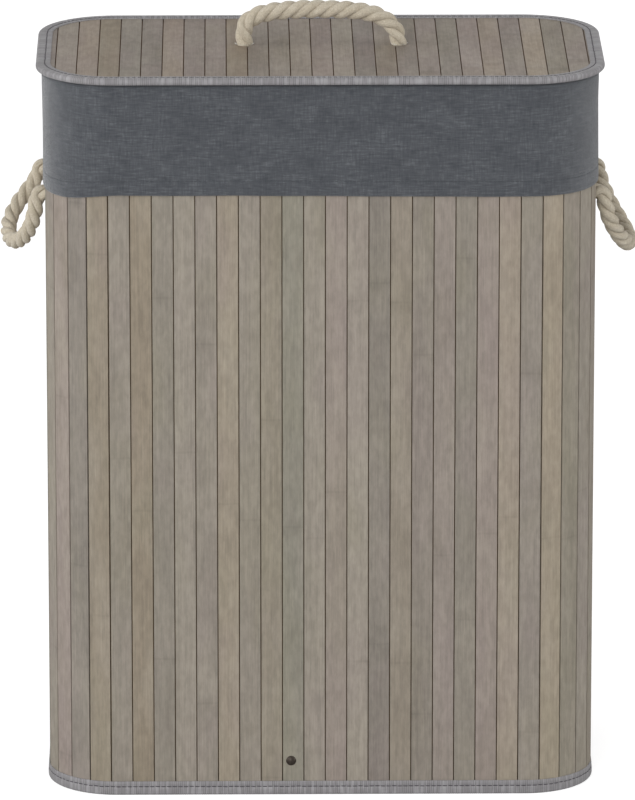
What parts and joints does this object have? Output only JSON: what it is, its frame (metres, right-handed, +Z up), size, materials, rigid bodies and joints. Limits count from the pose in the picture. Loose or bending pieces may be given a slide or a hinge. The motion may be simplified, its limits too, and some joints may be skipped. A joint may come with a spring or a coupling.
{
  "type": "laundry hamper",
  "caption": "Upright rounded-rectangle laundry hamper of bamboo slats with taped edges, a cloth liner turned down as a cuff, a hinged slatted lid and rope handles.",
  "frame": {"origin": "on the floor, under the middle of the hamper", "axes": "+Z up, -Y to the front, +X along the width to the right as seen from the front"},
  "size_m": [0.5312, 0.236, 0.6506],
  "materials": {
    "bamboo_slat": "grey-washed bamboo strip, matt, faint vertical fibre and nodes",
    "backing_cloth": "thin cotton backing cloth, matt",
    "hinge_tape": "flat woven tape, matt",
    "grosgrain_tape": "ribbed grey binding tape with a dark stitch line",
    "hardboard": "brown hardboard, smooth face",
    "webbing": "grey woven webbing",
    "dark_rivet": "dark domed rivet, satin",
    "steel_washer": "plain steel washer",
    "liner_cloth": "blue-grey linen-weave liner, matt",
    "cuff_cloth": "blue-grey linen-weave cuff, matt",
    "hook_and_loop": "hook-and-loop patch",
    "cotton_rope": "undyed twisted cotton rope, slightly hairy"
  },
  "bodies": {
    "hamper_body": {"front_wall_slats": "bamboo_slat", "rear_wall_slats": "bamboo_slat", "left_wall_slats": "bamboo_slat", "right_wall_slats": "bamboo_slat", "front_left_corner_slats": "bamboo_slat", "front_right_corner_slats": "bamboo_slat", "rear_left_corner_slats": "bamboo_slat", "rear_right_corner_slats": "bamboo_slat", "wall_backing_cloth": "backing_cloth", "base_cover_cloth": "backing_cloth", "wall_seam_tape": "hinge_tape", "base_hinge_tape": "hinge_tape", "lid_hinge_tape_lower": "hinge_tape", "bottom_binding": "grosgrain_tape", "top_binding": "grosgrain_tape", "base_board": "hardboard", "base_strap": "webbing", "wall_rivet": "dark_rivet", "base_rivet": "dark_rivet", "wall_rivet_washer": "steel_washer", "liner_bag_walls": "liner_cloth", "liner_bag_floor": "liner_cloth", "liner_cuff": "cuff_cloth", "liner_hook_patches": "hook_and_loop", "liner_loop_patches": "hook_and_loop", "left_rope_knots": "cotton_rope", "right_rope_knots": "cotton_rope"},
    "lid": {"lid_slats": "bamboo_slat", "lid_board": "hardboard", "lid_lining_cloth": "backing_cloth", "lid_binding": "grosgrain_tape", "lid_rope_knots": "cotton_rope", "lid_hinge_tape_upper": "hinge_tape"},
    "left_handle": {"left_handle_rope": "cotton_rope"},
    "right_handle": {"right_handle_rope": "cotton_rope"},
    "lid_handle": {"lid_handle_rope": "cotton_rope"}
  },
  "joints": [
    {"name": "lid_hinge", "type": "hinge", "parent": "hamper_body", "child": "lid", "pos_m": [0, 0.1146, 0.6091], "axis": [-1, 0, 0], "range_deg": [0, 100]},
    {"name": "left_handle_swing", "type": "hinge", "parent": "hamper_body", "child": "left_handle", "pos_m": [-0.2338, 0, 0.502], "axis": [0, 1, 0], "range_deg": [-4, 140]},
    {"name": "right_handle_swing", "type": "hinge", "parent": "hamper_body", "child": "right_handle", "pos_m": [0.2338, 0, 0.502], "axis": [0, -1, 0], "range_deg": [-4, 140]},
    {"name": "lid_handle_tilt", "type": "hinge", "parent": "lid", "child": "lid_handle", "pos_m": [0.002, 0.012, 0.6215], "axis": [1, 0, 0], "range_deg": [-50, 50], "stiffness_Nm_per_rad": 0.05}
  ]
}
